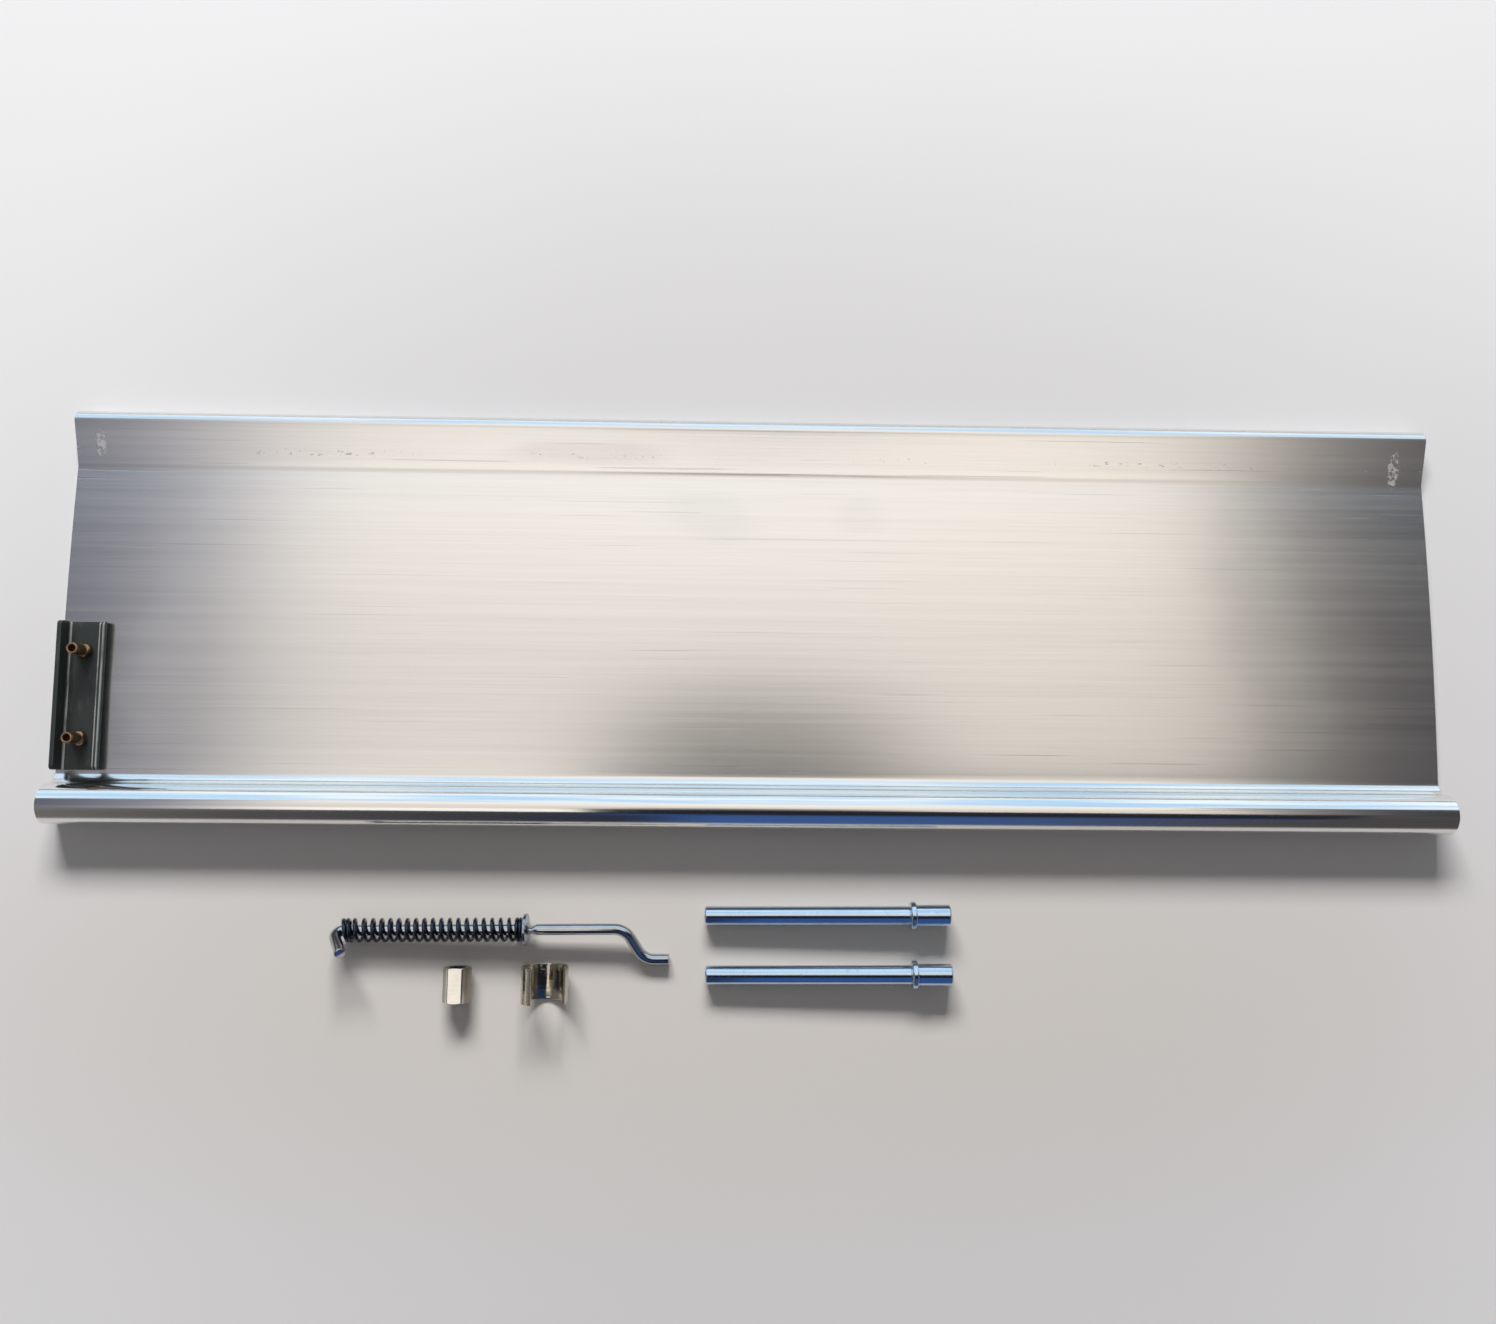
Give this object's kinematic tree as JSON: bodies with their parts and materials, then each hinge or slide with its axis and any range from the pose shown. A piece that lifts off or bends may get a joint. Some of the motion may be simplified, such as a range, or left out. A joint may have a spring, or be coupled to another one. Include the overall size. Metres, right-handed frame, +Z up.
{
  "type": "hinged aluminium flap kit",
  "caption": "Wide hinged flap of extruded aluminium with a hinge tube, crowned plate and raised lip, with its loose hinge pins, spring latch rod, spacer and clip.",
  "frame": {"origin": "centre of the hinge bore, half way along the flap", "axes": "+X along the hinge bore, +Y from the hinge tube to the raised lip, +Z up from the surface it lies on"},
  "size_m": [0.813, 0.3431, 0.025],
  "materials": {
    "mill_aluminium": "mill-finish extrusion with fine lengthwise lines",
    "black_paint": "black painted steel",
    "dark_zinc": "bright zinc plated round steel",
    "black_zinc": "dark zinc plated spring wire",
    "bright_zinc": "blue-white zinc plated steel",
    "bright_nickel": "bright plated steel",
    "clip_nickel": "bright plated spring steel",
    "blue_zinc": "blue-bright zinc plated steel",
    "copper_rivet": "copper coloured rivet body",
    "mandrel_steel": "dull steel mandrel"
  },
  "bodies": {
    "flap": {"flap_panel": "mill_aluminium", "channel_bracket": "black_paint", "rivet_sleeve_1": "copper_rivet", "rivet_sleeve_2": "copper_rivet", "rivet_mandrel_1": "mandrel_steel", "rivet_mandrel_2": "mandrel_steel"},
    "pin_a": {"hinge_pin_a": "blue_zinc"},
    "pin_b": {"hinge_pin_b": "blue_zinc"},
    "latch_rod": {"spring_rod": "dark_zinc", "compression_spring": "black_zinc"},
    "washer": {"spring_washer": "bright_zinc"},
    "spacer": {"hex_spacer": "bright_nickel"},
    "clip": {"tube_clip": "clip_nickel"}
  },
  "joints": [
    {"name": "lift_pin_a", "type": "slide", "parent": "flap", "child": "pin_a", "axis": [0, 0, 1], "range_m": [0, 0.11]},
    {"name": "lift_pin_b", "type": "slide", "parent": "flap", "child": "pin_b", "axis": [0, 0, 1], "range_m": [0, 0.11]},
    {"name": "lift_latch_rod", "type": "slide", "parent": "flap", "child": "latch_rod", "axis": [0, 0, 1], "range_m": [0, 0.11]},
    {"name": "lift_spacer", "type": "slide", "parent": "flap", "child": "spacer", "axis": [0, 0, 1], "range_m": [0, 0.11]},
    {"name": "lift_clip", "type": "slide", "parent": "flap", "child": "clip", "axis": [0, 0, 1], "range_m": [0, 0.11]},
    {"name": "compress_spring", "type": "slide", "parent": "latch_rod", "child": "washer", "axis": [-0.9997, -0.0122, -0.0205], "range_m": [0, 0.045], "stiffness_N_per_m": 4900, "springref_m": -0.004, "deforming": ["compression_spring"]}
  ]
}
